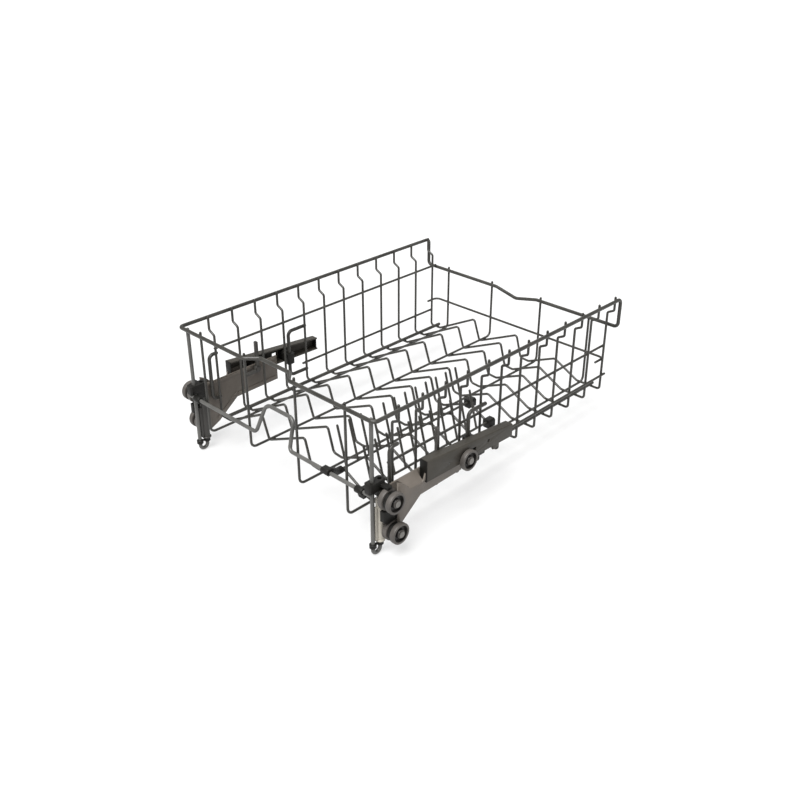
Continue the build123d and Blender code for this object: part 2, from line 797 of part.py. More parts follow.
# Release lever: a slim upright with a pivot boss and a latch arm to the rear
arm_drop = lever_pivot_drop + lever_boss_d / 2 - lever_width / 2
with BuildPart() as release_lever:
    with BuildSketch(side_plane(lever_back_x)) as lever_outline:
        with Locations((lever_place, -(lever_top_drop + lever_pivot_drop) / 2)):
            Rectangle(lever_width, lever_pivot_drop - lever_top_drop)
        with Locations((lever_place - lever_arm / 2, -arm_drop)):
            Rectangle(lever_arm, lever_width)
        with Locations((lever_place, -lever_pivot_drop)):
            RegularPolygon(lever_boss_d / 2, pin_sides, major_radius=False)
        chamfer(lever_outline.vertices().group_by(Axis.Y)[-1], edge_cut / 2)
        with Locations((lever_place, -lever_pivot_drop)):
            pin_hole(wheel_bore_r)
    extrude(amount=lever_thickness)
save_pair(release_lever, "release_lever")
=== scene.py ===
import bpy
import bmesh
import math
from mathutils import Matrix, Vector


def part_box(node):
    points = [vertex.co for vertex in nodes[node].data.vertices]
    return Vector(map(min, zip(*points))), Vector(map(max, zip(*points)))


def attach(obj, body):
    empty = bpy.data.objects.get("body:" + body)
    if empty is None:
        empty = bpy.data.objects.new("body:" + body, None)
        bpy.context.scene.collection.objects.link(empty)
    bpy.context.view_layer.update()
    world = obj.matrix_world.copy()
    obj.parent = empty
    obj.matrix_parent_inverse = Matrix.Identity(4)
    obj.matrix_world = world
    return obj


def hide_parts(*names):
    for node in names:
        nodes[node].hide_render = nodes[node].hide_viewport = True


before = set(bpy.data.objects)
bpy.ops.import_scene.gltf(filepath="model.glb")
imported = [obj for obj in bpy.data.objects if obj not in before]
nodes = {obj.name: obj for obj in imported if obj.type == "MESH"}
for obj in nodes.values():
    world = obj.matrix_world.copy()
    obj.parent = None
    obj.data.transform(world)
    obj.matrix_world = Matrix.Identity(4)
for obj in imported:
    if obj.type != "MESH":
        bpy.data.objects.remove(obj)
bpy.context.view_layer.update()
mm = 0.001
sides = {"left": -1, "right": 1}  # each side, and its way outward along X
print("frame loaded:", len(nodes), "nodes")


# small helpers: selection, node boxes, joining and finishing pieces

smoothAngles = {"wire": 50, "edges": 38, "spun": 35}
mergeGaps = {"round": 0.000005, "sheet": 0.000002}


def deselectAll():
    if bpy.context.object and bpy.context.object.mode != "OBJECT":
        bpy.ops.object.mode_set(mode="OBJECT")
    bpy.ops.object.select_all(action="DESELECT")


def onlySelect(piece):
    deselectAll()
    piece.select_set(True)
    bpy.context.view_layer.objects.active = piece


def pieceName(node):
    words = node.split("_")
    return words[0] + "".join(word.title() for word in words[1:])


def boxMiddle(node):
    low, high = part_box(node)
    return (Vector(low) + Vector(high)) / 2


def joinPieces(pieces, name):
    deselectAll()
    for piece in pieces:
        piece.select_set(True)
    bpy.context.view_layer.objects.active = pieces[0]
    bpy.ops.object.join()
    joined = bpy.context.object
    joined.name = name
    return joined


def copyAlong(piece, name, shift):
    onlySelect(piece)
    bpy.ops.object.duplicate(linked=False)
    twin = bpy.context.object
    twin.name = name
    bpy.ops.transform.translate(value=shift)
    bpy.ops.object.transform_apply(location=True, rotation=True, scale=True)
    return twin


def smoothByAngle(piece, degrees):
    onlySelect(piece)
    bpy.ops.object.shade_smooth_by_angle(angle=math.radians(degrees))


def cleanRound(piece, degrees):
    # merges a round mesh's seams, turns its faces outward and smooths it; starts in edit mode
    bpy.ops.mesh.select_all(action="SELECT")
    bpy.ops.mesh.remove_doubles(threshold=mergeGaps["round"])
    bpy.ops.mesh.normals_make_consistent(inside=False)
    bpy.ops.object.mode_set(mode="OBJECT")
    smoothByAngle(piece, degrees)


def vertexChain(name, points, closed=False):
    # a plane merged to one vertex, which is extruded from point to point; stays in edit mode
    deselectAll()
    bpy.ops.mesh.primitive_plane_add(size=1 * mm, location=(0, 0, 0))
    chain = bpy.context.object
    chain.name = name
    bpy.ops.object.mode_set(mode="EDIT")
    bpy.ops.mesh.select_all(action="SELECT")
    bpy.ops.mesh.merge(type="CENTER")
    bpy.ops.transform.translate(value=points[0])
    for before, after in zip(points, points[1:]):
        bpy.ops.mesh.extrude_region_move(TRANSFORM_OT_translate={"value": after - before})
    if closed:
        work = bmesh.from_edit_mesh(chain.data)
        for vert in work.verts:
            vert.select = len(vert.link_edges) < 2
        bmesh.update_edit_mesh(chain.data)
        bpy.ops.mesh.edge_face_add()
    return chain


def finishPiece(piece, node, body, material):
    # a piece that the CAD doesn't have comes without a node
    piece.data.materials.clear()
    piece.data.materials.append(material)
    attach(piece, body)
    if node:
        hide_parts(node)


# materials, all on Object coordinates

speckle = {"patchDetail": 4, "darkStop": 0.32, "lightStop": 0.70, "grainDetail": 3}
# attribute that carries painted shade in the wheels' hollows and the lever pin's darker tone
shadeName = "recessShade"


def speckledMaterial(look):
    # two tones of colour, uneven gloss and a fine moulded or dipped skin
    material = bpy.data.materials.new(look["name"])
    material.use_nodes = True
    tree = material.node_tree
    shader = tree.nodes["Principled BSDF"]
    place = tree.nodes.new("ShaderNodeTexCoord")

    cloud = tree.nodes.new("ShaderNodeTexNoise")
    cloud.inputs["Scale"].default_value = look["patchScale"]
    cloud.inputs["Detail"].default_value = speckle["patchDetail"]
    tone = tree.nodes.new("ShaderNodeValToRGB")
    tone.color_ramp.elements[0].position = speckle["darkStop"]
    tone.color_ramp.elements[0].color = (*look["dark"], 1)
    tone.color_ramp.elements[1].position = speckle["lightStop"]
    tone.color_ramp.elements[1].color = (*look["light"], 1)
    tree.links.new(place.outputs["Object"], cloud.inputs["Vector"])
    tree.links.new(cloud.outputs["Fac"], tone.inputs["Fac"])
    tree.links.new(tone.outputs["Color"], shader.inputs["Base Color"])

    gloss = tree.nodes.new("ShaderNodeMapRange")
    gloss.inputs["To Min"].default_value = look["roughLow"]
    gloss.inputs["To Max"].default_value = look["roughHigh"]
    tree.links.new(cloud.outputs["Fac"], gloss.inputs["Value"])
    tree.links.new(gloss.outputs["Result"], shader.inputs["Roughness"])

    grain = tree.nodes.new("ShaderNodeTexNoise")
    grain.inputs["Scale"].default_value = look["grainScale"]
    grain.inputs["Detail"].default_value = speckle["grainDetail"]
    bump = tree.nodes.new("ShaderNodeBump")
    bump.inputs["Strength"].default_value = look["grainStrength"]
    bump.inputs["Distance"].default_value = look["grainDepth"]
    tree.links.new(place.outputs["Object"], grain.inputs["Vector"])
    tree.links.new(grain.outputs["Fac"], bump.inputs["Height"])
    tree.links.new(bump.outputs["Normal"], shader.inputs["Normal"])
    shader.inputs["Metallic"].default_value = look["metal"]
    shader.inputs["Specular IOR Level"].default_value = look["shine"]
    return material


def shadeByAttribute(material):
    # a piece's own attribute darkens the colour: painted shade in the wheels' hollows, and a darker
    # tone on the lever's pin
    tree = material.node_tree
    shader = tree.nodes["Principled BSDF"]
    tone = shader.inputs["Base Color"].links[0].from_socket
    paint = tree.nodes.new("ShaderNodeAttribute")
    paint.attribute_name = shadeName
    mix = tree.nodes.new("ShaderNodeMix")
    mix.data_type = "RGBA"
    mix.blend_type = "MULTIPLY"
    mix.inputs["Factor"].default_value = 1.0
    tree.links.new(tone, mix.inputs["A"])
    tree.links.new(paint.outputs["Color"], mix.inputs["B"])
    tree.links.new(mix.outputs["Result"], shader.inputs["Base Color"])


def shadeLeftPost(material, shadeTone):
    # painted shade: the left-hand post is coloured dark, the right-hand one keeps its pale colour
    tree = material.node_tree
    shader = tree.nodes["Principled BSDF"]
    tone = shader.inputs["Base Color"].links[0].from_socket
    place = tree.nodes.new("ShaderNodeTexCoord")
    split = tree.nodes.new("ShaderNodeSeparateXYZ")
    onRight = tree.nodes.new("ShaderNodeMath")
    onRight.operation = "GREATER_THAN"
    onRight.inputs[1].default_value = 0.0
    mix = tree.nodes.new("ShaderNodeMix")
    mix.data_type = "RGBA"
    mix.inputs["A"].default_value = (*shadeTone, 1)
    tree.links.new(place.outputs["Object"], split.inputs["Vector"])
    tree.links.new(split.outputs["X"], onRight.inputs[0])
    tree.links.new(onRight.outputs["Value"], mix.inputs["Factor"])
    tree.links.new(tone, mix.inputs["B"])
    tree.links.new(mix.outputs["Result"], shader.inputs["Base Color"])


def paintShade(piece, toneAt):
    # sets the darkening attribute, with the tone for each vertex's place
    shade = piece.data.attributes.new(shadeName, "FLOAT_COLOR", "POINT")
    for vert, value in zip(piece.data.vertices, shade.data):
        tone = toneAt(vert.co)
        value.color = (tone, tone, tone, 1)


nylonLook = {"name": "nylonCoat", "dark": (0.022, 0.021, 0.018), "light": (0.042, 0.040, 0.035),
             "patchScale": 38, "roughLow": 0.28, "roughHigh": 0.44, "shine": 0.42, "metal": 0.0,
             "grainScale": 900, "grainStrength": 0.25, "grainDepth": 0.0002}
# a lighter copy of the nylon coat: painted highlight on the rear rail and legs
heavyHighlightLook = {"name": "heavyCoat", "dark": (0.058, 0.057, 0.053), "light": (0.098, 0.096, 0.090),
             "patchScale": 38, "roughLow": 0.30, "roughHigh": 0.46, "shine": 0.5, "metal": 0.0,
             "grainScale": 900, "grainStrength": 0.25, "grainDepth": 0.0002}
channelLook = {"name": "channelSheet", "dark": (0.031, 0.028, 0.022),
               "light": (0.046, 0.041, 0.034), "patchScale": 26, "roughLow": 0.40,
               "roughHigh": 0.58, "shine": 0.3, "metal": 0.0, "grainScale": 1400,
               "grainStrength": 0.2, "grainDepth": 0.0002}
bracketLook = {"name": "bracketSheet", "dark": (0.105, 0.090, 0.076),
               "light": (0.150, 0.131, 0.112), "patchScale": 30, "roughLow": 0.38,
               "roughHigh": 0.55, "shine": 0.35, "metal": 0.1, "grainScale": 1400,
               "grainStrength": 0.2, "grainDepth": 0.0002}
wheelLook = {"name": "wheelMoulding", "dark": (0.058, 0.052, 0.047), "light": (0.092, 0.083, 0.075),
             "patchScale": 60, "roughLow": 0.38, "roughHigh": 0.55, "shine": 0.35, "metal": 0.0,
             "grainScale": 1600, "grainStrength": 0.25, "grainDepth": 0.0002}
axleLook = {"name": "axleSteel", "dark": (0.15, 0.145, 0.135), "light": (0.22, 0.21, 0.195),
            "patchScale": 80, "roughLow": 0.28, "roughHigh": 0.42, "shine": 0.5, "metal": 0.6,
            "grainScale": 1800, "grainStrength": 0.15, "grainDepth": 0.0001}
# the left post's dark tone is painted shade
postLook = {"name": "palePost", "dark": (0.34, 0.32, 0.27), "light": (0.45, 0.42, 0.365),
            "patchScale": 30, "roughLow": 0.40, "roughHigh": 0.55, "shine": 0.4, "metal": 0.0,
            "grainScale": 1200, "grainStrength": 0.2, "grainDepth": 0.0002,
            "leftTone": (0.035, 0.033, 0.030)}
blackLook = {"name": "blackMoulding", "dark": (0.005, 0.005, 0.004), "light": (0.011, 0.010, 0.009),
             "patchScale": 50, "roughLow": 0.40, "roughHigh": 0.56, "shine": 0.22, "metal": 0.0,
             "grainScale": 1500, "grainStrength": 0.3, "grainDepth": 0.0002}
leverLook = {"name": "leverMoulding", "dark": (0.034, 0.032, 0.029), "light": (0.056, 0.053, 0.048),
             "patchScale": 45, "roughLow": 0.36, "roughHigh": 0.50, "shine": 0.4, "metal": 0.0,
             "grainScale": 1500, "grainStrength": 0.25, "grainDepth": 0.0002}
nylonCoat = speckledMaterial(nylonLook)
heavyCoat = speckledMaterial(heavyHighlightLook)
channelSheet = speckledMaterial(channelLook)
bracketSheet = speckledMaterial(bracketLook)
wheelMoulding = speckledMaterial(wheelLook)
axleSteel = speckledMaterial(axleLook)
palePost = speckledMaterial(postLook)
blackMoulding = speckledMaterial(blackLook)
leverMoulding = speckledMaterial(leverLook)
# painted shade in the wheels' hollows
shadeByAttribute(wheelMoulding)
shadeByAttribute(axleSteel)
# painted shade on the left post
shadeLeftPost(palePost, postLook["leftTone"])
print("materials made")


# bent wire: a chain of vertices, its corners bevelled, then given its thickness

wireMesh = {"degreesPerStep": 13, "leastSteps": 2, "sideSteps": 5, "tip": (16, 10), "bead": (12, 8)}


def roundCorners(chain, points, bends, closed):
    count = len(points)
    corners = range(count) if closed else range(1, count - 1)
    for corner, bend in zip(corners, bends):
        here = points[corner]
        into = (here - points[corner - 1]).normalized()
        out = (points[(corner + 1) % count] - here).normalized()
        turn = into.angle(out)
        steps = round(math.degrees(turn) / wireMesh["degreesPerStep"])
        work = bmesh.from_edit_mesh(chain.data)
        work.verts.ensure_lookup_table()
        nearest = min(work.verts, key=lambda vert: (vert.co - here).length)
        bpy.ops.mesh.select_all(action="DESELECT")
        nearest.select = True
        work.select_flush_mode()
        bmesh.update_edit_mesh(chain.data)
        bpy.ops.mesh.bevel(offset=bend * math.tan(turn / 2), offset_type="OFFSET",
                           segments=max(wireMesh["leastSteps"], steps), profile=0.5,
                           affect="VERTICES", clamp_overlap=False)
    bpy.ops.object.mode_set(mode="OBJECT")


def thickenChain(chain, diameter):
    onlySelect(chain)
    bpy.ops.object.convert(target="CURVE")
    wire = bpy.context.object
    wire.data.dimensions = "3D"
    wire.data.bevel_depth = diameter / 2
    wire.data.bevel_resolution = wireMesh["sideSteps"]
    wire.data.use_fill_caps = True
    bpy.ops.object.convert(target="MESH")
    wire = bpy.context.object
    bpy.ops.object.mode_set(mode="EDIT")
    cleanRound(wire, smoothAngles["wire"])
    return wire


def smoothBall(radius, place, detail):
    deselectAll()
    bpy.ops.mesh.primitive_uv_sphere_add(segments=detail[0], ring_count=detail[1], radius=radius,
                                         location=place)
    bpy.ops.object.transform_apply(location=True, rotation=True, scale=True)
    bpy.ops.object.shade_smooth()
    return bpy.context.object


def bentWire(name, points, bends, diameter, closed=False):
    points = [Vector(point) for point in points]
    reach = diameter / 2
    if not closed:
        # the tube stops where its round, dipped tips begin
        start = points[0] + (points[1] - points[0]).normalized() * reach
        end = points[-1] + (points[-2] - points[-1]).normalized() * reach
        points[0], points[-1] = start, end
    chain = vertexChain(name, points, closed)
    roundCorners(chain, points, bends, closed)
    wire = thickenChain(chain, diameter)
    if not closed:
        tips = [smoothBall(reach, place, wireMesh["tip"]) for place in (start, end)]
        wire = joinPieces([wire] + tips, name)
    return wire


def weldBeads(piece, contacts, radius):
    # the dipped coat leaves a small swelling where two wires are welded
    bead = smoothBall(radius, (0, 0, 0), wireMesh["bead"])
    beads = [copyAlong(bead, "weldBead", contact) for contact in contacts]
    bpy.data.objects.remove(bead)
    return joinPieces([piece] + beads, piece.name)


# wires of the basket, with drops in millimetres below the rim

wireSizes = {"heavy": 5.0 * mm, "thin": 3.4 * mm, "tine": 3.2 * mm}
beadSizes = {"heavy": 1.95 * mm, "thin": 1.6 * mm}
heavyHalf, thinHalf, tineHalf = (wireSizes[gauge] / 2 for gauge in ("heavy", "thin", "tine"))
crossNodes = sorted(name for name in nodes if name.startswith("cross_wire"))
floorNodes = sorted(name for name in nodes if name.startswith("floor_wire"))
rimLow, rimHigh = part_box("rim_wire")
rimZ = rimHigh[2] - heavyHalf
rearY = rimLow[1] + heavyHalf
frontY = rimHigh[1] - heavyHalf
halfWidth = rimHigh[0] - heavyHalf


def drop(value):
    return rimZ - value * mm


def spot(across, along, down):
    # millimetres from the basket's middle, from its rear wire and below its rim
    return Vector((across * mm, rearY + along * mm, drop(down)))


def crossPlaces(low, high):
    # where the cross wires stand, between two places along the basket
    middles = [boxMiddle(node)[1] for node in crossNodes]
    return [y for y in middles if low < y < high]


def finishWire(wire, node, body="basket", coat=nylonCoat):
    finishPiece(wire, node, body, coat)


rimShape = {"frontDrop": 42, "notchHalf": 38, "notchDepth": 8.5, "insetDepth": 14,
            "insetFlat": 28, "insetOuter": 42, "insetX": -4, "corner": 6, "frontCorner": 6.5,
            "notchBend": 12, "insetBend": 6}


def makeRim():
    shape = rimShape
    frontZ = drop(shape["frontDrop"])
    notchZ = drop(shape["frontDrop"] + shape["notchDepth"])
    insetY = rearY + shape["insetDepth"] * mm
    notch, shift = shape["notchHalf"] * mm, shape["insetX"] * mm
    flat, outer = shape["insetFlat"] * mm, shape["insetOuter"] * mm
    points = [(-halfWidth, frontY, rimZ), (-halfWidth, frontY, frontZ), (-notch, frontY, frontZ),
              (0, frontY, notchZ), (notch, frontY, frontZ), (halfWidth, frontY, frontZ),
              (halfWidth, frontY, rimZ), (halfWidth, rearY, rimZ), (shift + outer, rearY, rimZ),
              (shift + flat, insetY, rimZ), (shift - flat, insetY, rimZ),
              (shift - outer, rearY, rimZ), (-halfWidth, rearY, rimZ)]
    bends = [shape["frontCorner"]] * 2 + [shape["notchBend"]] * 3 + [shape["frontCorner"]] * 2
    bends += [shape["corner"]] + [shape["insetBend"]] * 4 + [shape["corner"]]
    bends = [bend * mm for bend in bends]
    rim = bentWire("rimWire", points, bends, wireSizes["heavy"], closed=True)
    inside = halfWidth - heavyHalf
    contacts = [(side * inside, y, rimZ) for side in (-1, 1) for y in crossPlaces(rearY, frontY)]
    for node in floorNodes:
        x = boxMiddle(node)[0]
        contacts += [(x, rearY + heavyHalf, rimZ), (x, frontY + heavyHalf, frontZ)]
    finishWire(weldBeads(rim, contacts, beadSizes["heavy"]), "rim_wire")


# a wall has a jog from ledgeX in to wallX; ridges are places across the floor and their drops
floorShape = {"ledgeX": 174.28, "wallX": 164.2, "top": -4.5, "jogTop": 16.5, "jogBottom": 21.5,
              "bottom": 142, "wallBends": [3, 3, 4.5],
              "ridges": [(-144.9, 142), (-73.2, 105), (-61.3, 138.2), (10.9, 105.5),
                         (20.7, 139.7), (36.1, 141), (83.6, 120.4), (124.9, 142)],
              "ridgeBends": [6, 4, 4, 4, 6, 6, 6, 6]}


def makeCrossWires():
    shape = floorShape
    wall = [(shape["ledgeX"], shape["top"]), (shape["ledgeX"], shape["jogTop"]),
            (shape["wallX"], shape["jogBottom"]), (shape["wallX"], shape["bottom"])]
    profile = [(-x, down) for x, down in wall] + shape["ridges"] + wall[::-1]
    bends = shape["wallBends"] + shape["ridgeBends"] + shape["wallBends"][::-1]
    firstY = boxMiddle(crossNodes[0])[1]
    points = [(x * mm, firstY, drop(down)) for x, down in profile]
    first = bentWire(pieceName(crossNodes[0]), points, [bend * mm for bend in bends],
                     wireSizes["thin"])
    finishWire(first, crossNodes[0])
    for node in crossNodes[1:]:
        shift = (0, boxMiddle(node)[1] - firstY, 0)
        finishWire(copyAlong(first, pieceName(node), shift), node)


def floorAt(x):
    # drop of the floor below a place across the basket
    wallX, bottom = floorShape["wallX"], floorShape["bottom"]
    profile = [(-wallX, bottom)] + floorShape["ridges"] + [(wallX, bottom)]
    for (x0, drop0), (x1, drop1) in zip(profile, profile[1:]):
        if x0 * mm <= x <= x1 * mm:
            return drop0 + (drop1 - drop0) * (x / mm - x0) / (x1 - x0)
    return bottom


floorWireShape = {"bend": 8, "frontRise": 4.5}
frontRailShape = {"bend": 8, "drop": 96}


def makeFloorWires():
    bends = [floorWireShape["bend"] * mm] * 2
    frontTop = drop(rimShape["frontDrop"]) + floorWireShape["frontRise"] * mm
    for node in floorNodes:
        low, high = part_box(node)
        x = (low[0] + high[0]) / 2
        rear, front, bottom = low[1] + thinHalf, high[1] - thinHalf, low[2] + thinHalf
        points = [(x, rear, high[2]), (x, rear, bottom), (x, front, bottom), (x, front, frontTop)]
        wire = bentWire(pieceName(node), points, bends, wireSizes["thin"])
        over = bottom > drop(floorAt(x))
        touch = bottom + (-thinHalf if over else thinHalf)
        contacts = [(x, y, touch) for y in crossPlaces(rear, front)]
        contacts.append((x, front - thinHalf, drop(frontRailShape["drop"])))
        finishWire(weldBeads(wire, contacts, beadSizes["thin"]), node)


sideRailGauges = {"ledge": "heavy", "mid": "thin", "low": "thin"}


def makeSideRail(node, kind, outward):
    gauge = sideRailGauges[kind]
    low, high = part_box(node)
    middle = boxMiddle(node)
    points = [(middle[0], low[1], middle[2]), (middle[0], high[1], middle[2])]
    rail = bentWire(pieceName(node), points, [], wireSizes[gauge])
    # a ledge rail lies on the jogs, the others lean on the wall
    wallX = outward * floorShape["wallX"] * mm
    x, z = (middle[0], low[2]) if kind == "ledge" else ((middle[0] + wallX) / 2, middle[2])
    contacts = [(x, y, z) for y in crossPlaces(low[1], high[1])]
    finishWire(weldBeads(rail, contacts, beadSizes[gauge]), node)


def makeFrontRail():
    low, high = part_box("front_rail")
    z = (low[2] + high[2]) / 2
    left, right, front = low[0] + thinHalf, high[0] - thinHalf, high[1] - thinHalf
    points = [(left, low[1], z), (left, front, z), (right, front, z), (right, low[1], z)]
    bends = [frontRailShape["bend"] * mm] * 2
    finishWire(bentWire("frontRail", points, bends, wireSizes["thin"]), "front_rail")


rearRailShape = {"drop": 97, "archFoot": 32, "archTop": 26, "archTopDrop": 61, "footBend": 6,
                 "topBend": 9}


def makeRearRail():
    shape = rearRailShape
    low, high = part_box("rear_rail")
    railZ, archZ = drop(shape["drop"]), drop(shape["archTopDrop"])
    foot, top = shape["archFoot"] * mm, shape["archTop"] * mm
    archY = rearY + rimShape["insetDepth"] * mm
    points = [(low[0], rearY, railZ), (-foot, rearY, railZ), (-top, archY, archZ),
              (top, archY, archZ), (foot, rearY, railZ), (high[0], rearY, railZ)]
    footBend, topBend = shape["footBend"] * mm, shape["topBend"] * mm
    bends = [footBend, topBend, topBend, footBend]
    rail = bentWire("rearRail", points, bends, wireSizes["heavy"])
    # the lighter coat is a painted highlight
    finishWire(rail, "rear_rail", coat=heavyCoat)


legShape = {"secondTop": 87, "loopEase": 0.02}


def makeLeg(side):
    node = f"{side}_guide_leg"
    low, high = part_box(node)
    x = boxMiddle(node)[0]
    rear, second, foot = low[1] + heavyHalf, high[1] - heavyHalf, low[2] + heavyHalf
    points = [(x, rear, high[2]), (x, rear, foot), (x, second, foot),
              (x, second, drop(legShape["secondTop"]))]
    loop = (second - rear) / 2 - legShape["loopEase"] * mm
    leg = bentWire(pieceName(node), points, [loop, loop], wireSizes["heavy"])
    # the lighter coat is a painted highlight
    finishWire(leg, node, coat=heavyCoat)


hangerShape = {"bend": 7, "armPast": 6,
               "front": {"reach": 27.64, "top": 59, "bottom": 128, "wire": "cross_wire_05"},
               "rear": {"reach": 8.7, "top": 49.4, "bottom": 115, "wire": "cross_wire_01"}}


def makeHanger(side):
    node = f"{side}_hanger_bar"
    x = boxMiddle(node)[0]
    inside = x - math.copysign(heavyHalf, x)
    bends = [hangerShape["bend"] * mm] * 2
    bars = []
    for place in ("front", "rear"):
        shape = hangerShape[place]
        wireY = boxMiddle(shape["wire"])[1]
        barY, armY = wireY - shape["reach"] * mm, wireY + hangerShape["armPast"] * mm
        top, bottom = drop(shape["top"]), drop(shape["bottom"])
        points = [(x, armY, top), (x, barY, top), (x, barY, bottom), (x, armY, bottom)]
        bar = bentWire("hangerBar", points, bends, wireSizes["heavy"])
        contacts = [(inside, wireY, top), (inside, wireY, bottom)]
        bars.append(weldBeads(bar, contacts, beadSizes["heavy"]))
    finishWire(joinPieces(bars, pieceName(node)), node)


combShape = {"lean": 15.3, "pitch": 19.38, "lengthShare": 0.995,
             "left_tine_comb": {"firstTine": 44.5, "tines": 12},
             "right_tine_comb": {"firstTine": 54.2, "tines": 11}}


def makeComb(node):
    shape = combShape[node]
    low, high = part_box(node)
    x, z = high[0] - tineHalf, low[2] + tineHalf
    base = bentWire(pieceName(node), [(x, low[1], z), (x, high[1], z)], [], wireSizes["tine"])
    lean = math.radians(combShape["lean"])
    up = Vector((-math.sin(lean), 0, math.cos(lean)))
    foot = Vector((x, rearY + shape["firstTine"] * mm, z))
    tip = foot + up * (high[2] - z) / up.z * combShape["lengthShare"]
    tines = [bentWire("tine", [foot, tip], [], wireSizes["tine"])]
    for index in range(1, shape["tines"]):
        tines.append(copyAlong(tines[0], "tine", (0, index * combShape["pitch"] * mm, 0)))
    finishWire(joinPieces([base] + tines, pieceName(node)), node, body=node)


makeRim()
makeCrossWires()
makeFloorWires()
for kind in sideRailGauges:
    for side, outward in sides.items():
        makeSideRail(f"{side}_{kind}_rail", kind, outward)
makeFrontRail()
makeRearRail()
for side in sides:
    makeLeg(side)
for side in sides:
    makeHanger(side)
for side in sides:
    makeComb(f"{side}_tine_comb")
print("wires bent")


# sheet and moulded pieces: the CAD shape with its edges broken, and what is added to it

edgeMesh = {"segments": 2, "flatAngle": 2, "sharpAngle": 35}


def brokenEdges(node, width):
    deselectAll()
    piece = nodes[node].copy()
    piece.data = nodes[node].data.copy()
    piece.name = pieceName(node)
    piece.parent = None
    piece.matrix_world.identity()
    bpy.context.collection.objects.link(piece)
    onlySelect(piece)
    bpy.ops.object.mode_set(mode="EDIT")
    bpy.ops.mesh.select_all(action="SELECT")
    bpy.ops.mesh.remove_doubles(threshold=mergeGaps["sheet"])
    bpy.ops.mesh.dissolve_limited(angle_limit=math.radians(edgeMesh["flatAngle"]))
    bpy.ops.object.mode_set(mode="OBJECT")
    edges = piece.modifiers.new("edges", "BEVEL")
    edges.width = width * mm
    edges.segments = edgeMesh["segments"]
    edges.limit_method = "ANGLE"
    edges.angle_limit = math.radians(edgeMesh["sharpAngle"])
    edges.use_clamp_overlap = True
    bpy.ops.object.modifier_apply(modifier="edges")
    smoothByAngle(piece, smoothAngles["edges"])
    return piece


def roundEdges(piece, rounding):
    # rounds the edges of a new block or plate, which is in edit mode and selected
    bpy.ops.mesh.bevel(offset=rounding * mm, segments=edgeMesh["segments"], affect="EDGES")
    bpy.ops.object.mode_set(mode="OBJECT")
    smoothByAngle(piece, smoothAngles["edges"])
    return piece


def solidBlock(name, low, high, rounding):
    # a cube drawn out to its corners, with its edges rounded
    deselectAll()
    bpy.ops.mesh.primitive_cube_add(size=1, location=(0, 0, 0))
    block = bpy.context.object
    block.name = name
    low, high = Vector(low), Vector(high)
    bpy.ops.object.mode_set(mode="EDIT")
    bpy.ops.mesh.select_all(action="SELECT")
    bpy.ops.transform.resize(value=[abs(size) for size in high - low])
    bpy.ops.transform.translate(value=(low + high) / 2)
    return roundEdges(block, rounding)


def flatPlate(name, outline, start, end, rounding):
    # an outline in places along the basket and drops, filled and drawn out across it
    plate = vertexChain(name, [spot(start, along, down) for along, down in outline])
    bpy.ops.mesh.select_all(action="SELECT")
    bpy.ops.mesh.edge_face_add()
    across = ((end - start) * mm, 0, 0)
    bpy.ops.mesh.extrude_region_move(TRANSFORM_OT_translate={"value": across})
    bpy.ops.mesh.select_all(action="SELECT")
    bpy.ops.mesh.normals_make_consistent(inside=False)
    return roundEdges(plate, rounding)


skirtShape = {"cutDrop": 103.4, "bottomDrop": 162, "overlap": 2, "rear": 17.6, "front": 26,
              "inner": 173.82, "outer": 175.82, "round": 0.5}


def trimSkirt(block, outward):
    # the skirt is cut off under the block and set further forward, so that the post shows
    shape = skirtShape
    onlySelect(block)
    bpy.ops.object.mode_set(mode="EDIT")
    bpy.ops.mesh.select_all(action="SELECT")
    bpy.ops.mesh.bisect(plane_co=(0, 0, drop(shape["cutDrop"])), plane_no=(0, 0, 1),
                        use_fill=True, clear_inner=True)
    bpy.ops.object.mode_set(mode="OBJECT")
    low = spot(outward * shape["inner"], shape["rear"], shape["bottomDrop"])
    high = spot(outward * shape["outer"], shape["front"], shape["cutDrop"] - shape["overlap"])
    return joinPieces([block, solidBlock("skirt", low, high, shape["round"])], block.name)


plateCut = {"inner": 185.2, "place": 27}


def trimPlate(bracket, outward):
    # the outer plate ends at the wheels, where the black carrier takes its place
    onlySelect(bracket)
    bpy.ops.object.mode_set(mode="EDIT")
    bpy.ops.mesh.select_all(action="DESELECT")
    work = bmesh.from_edit_mesh(bracket.data)
    for vert in work.verts:
        vert.select = outward * vert.co.x > plateCut["inner"] * mm
    work.select_flush_mode()
    bmesh.update_edit_mesh(bracket.data)
    bpy.ops.mesh.bisect(plane_co=(0, rearY + plateCut["place"] * mm, 0), plane_no=(0, 1, 0),
                        use_fill=True, clear_inner=True)
    bpy.ops.object.mode_set(mode="OBJECT")
    return bracket


ribShape = {"inner": 173.1, "outer": 174.1, "round": 0.3,
            "outlines": [[(30, 93), (103, 93), (103, 96.6), (30, 96.6)],
                         [(121, 93), (147, 93), (147, 96.6), (121, 96.6)],
                         [(78.6, 123.2), (147, 122), (147, 125.8), (78.6, 127.2)],
                         [(76, 126.6), (76, 121.6), (40.5, 148.5), (43.4, 151.6)]]}


def addRibs(bracket, outward):
    # pressed ribs that stiffen the bracket's inner web
    inner, outer = outward * ribShape["inner"], outward * ribShape["outer"]
    ribs = [flatPlate("rib", outline, inner, outer, ribShape["round"])
            for outline in ribShape["outlines"]]
    return joinPieces([bracket] + ribs, bracket.name)


# two corners of each cap: across, along and down
shadeCapShape = {"rear": ((178, 72.7, 105.5), (189.4, 73.4, 77.4)),
            "front": ((180, 229, 109.4), (187.6, 230.9, 93.4)), "round": 0.2}


